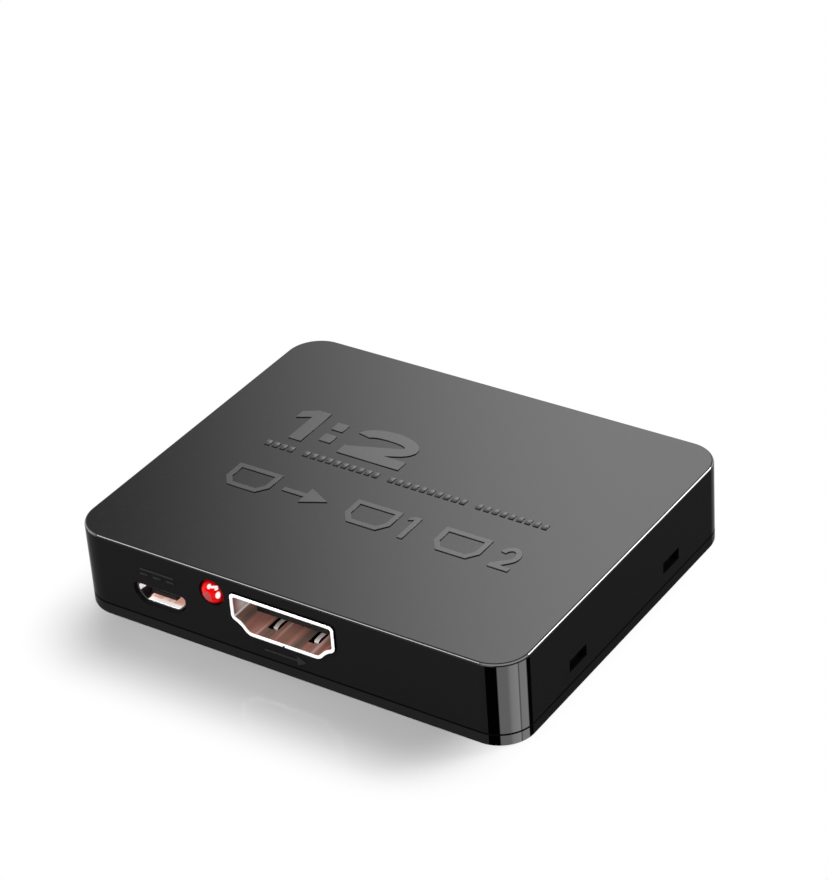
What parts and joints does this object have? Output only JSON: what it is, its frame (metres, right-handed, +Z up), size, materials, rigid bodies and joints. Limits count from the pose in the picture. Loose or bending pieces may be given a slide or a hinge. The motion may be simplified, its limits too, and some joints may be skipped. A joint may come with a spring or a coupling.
{
  "type": "hdmi splitter",
  "caption": "Flat rectangular box that splits an HDMI signal, with sockets on both long faces, a micro-USB power inlet and indicator lamps.",
  "frame": {"origin": "under the middle of the case, on the surface that it stands on", "axes": "+X along the long side, -Y out of the input face, +Y out of the output face, +Z up"},
  "size_m": [0.0632, 0.0532, 0.0118],
  "materials": {
    "case_plastic": "polished black ABS",
    "mark_ink": "satin grey raised print",
    "board_laminate": "green solder mask",
    "socket_metal": "nickel-plated sheet steel",
    "insulator_plastic": "black moulded plastic",
    "contact_gold": "gold-plated",
    "lamp_red": "clear red epoxy",
    "lamp_green": "clear green epoxy",
    "tinned_metal": "tinned",
    "chip_epoxy": "black chip moulding",
    "crystal_metal": "satin steel can",
    "can_aluminium": "bright aluminium can",
    "base_plastic": "black plastic base",
    "ferrite": "dark ferrite",
    "capacitor_ceramic": "tan ceramic",
    "resistor_ceramic": "black glazed ceramic"
  },
  "bodies": {
    "root": {"bottom_tray": "case_plastic", "top_cover": "case_plastic", "cover_marks": "mark_ink", "circuit_board": "board_laminate", "input_shell": "socket_metal", "input_insulator": "insulator_plastic", "input_contacts": "contact_gold", "output_1_shell": "socket_metal", "output_1_insulator": "insulator_plastic", "output_1_contacts": "contact_gold", "output_2_shell": "socket_metal", "output_2_insulator": "insulator_plastic", "output_2_contacts": "contact_gold", "usb_shell": "socket_metal", "usb_insulator": "insulator_plastic", "usb_contacts": "contact_gold", "power_led_lens": "lamp_red", "power_led_frame": "tinned_metal", "output_led_1_lens": "lamp_green", "output_led_1_frame": "tinned_metal", "output_led_2_lens": "lamp_green", "output_led_2_frame": "tinned_metal", "splitter_chip": "chip_epoxy", "splitter_chip_pins": "tinned_metal", "memory_chip": "chip_epoxy", "memory_chip_pins": "tinned_metal", "regulators": "chip_epoxy", "regulator_leads": "tinned_metal", "crystal_can": "crystal_metal", "crystal_wires": "tinned_metal", "capacitor_cans": "can_aluminium", "capacitor_bases": "base_plastic", "power_inductor": "ferrite", "inductor_ends": "tinned_metal", "chip_capacitors": "capacitor_ceramic", "chip_resistors": "resistor_ceramic", "chip_ends": "tinned_metal", "surge_arrays": "chip_epoxy"}
  },
  "joints": []
}
